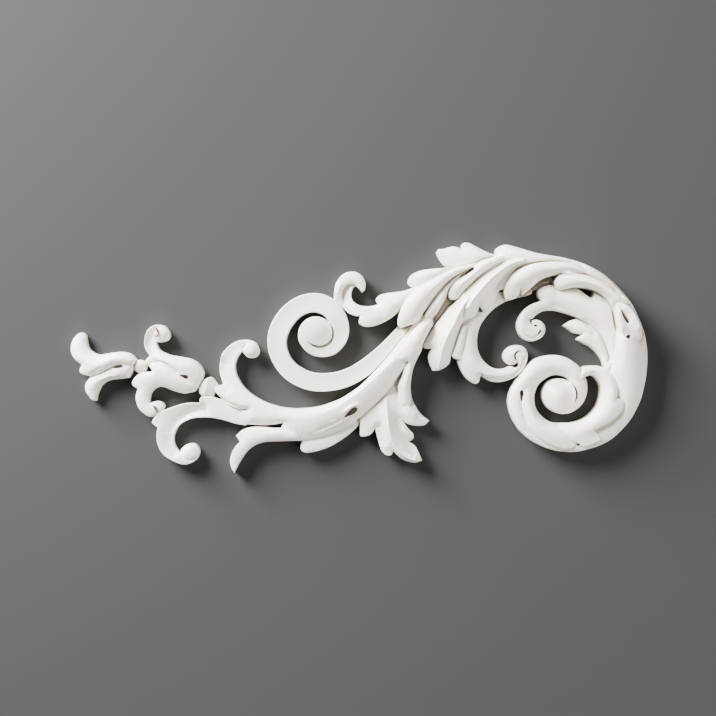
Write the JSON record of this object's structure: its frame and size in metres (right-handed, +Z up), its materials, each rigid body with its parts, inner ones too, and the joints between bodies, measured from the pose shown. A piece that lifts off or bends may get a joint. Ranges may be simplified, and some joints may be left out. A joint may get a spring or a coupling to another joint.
{
  "type": "carved scroll onlay",
  "caption": "Cast acanthus scroll onlay with a spiral volute, curled leaves and bell flowers on a flat back, glued to a frame, door or mantel as relief ornament.",
  "frame": {"origin": "on the flat back, behind the fat part of the main stem where the leaves spring from it", "axes": "X along the length, from the bell flowers to the big stem; +Y into the wall, so the carving faces -Y; +Z up"},
  "size_m": [0.3196, 0.022, 0.1274],
  "materials": {
    "white_resin": "matte off-white cast resin or primed compo, unpainted"
  },
  "bodies": {
    "root": {"scroll_onlay": "white_resin"}
  },
  "joints": []
}
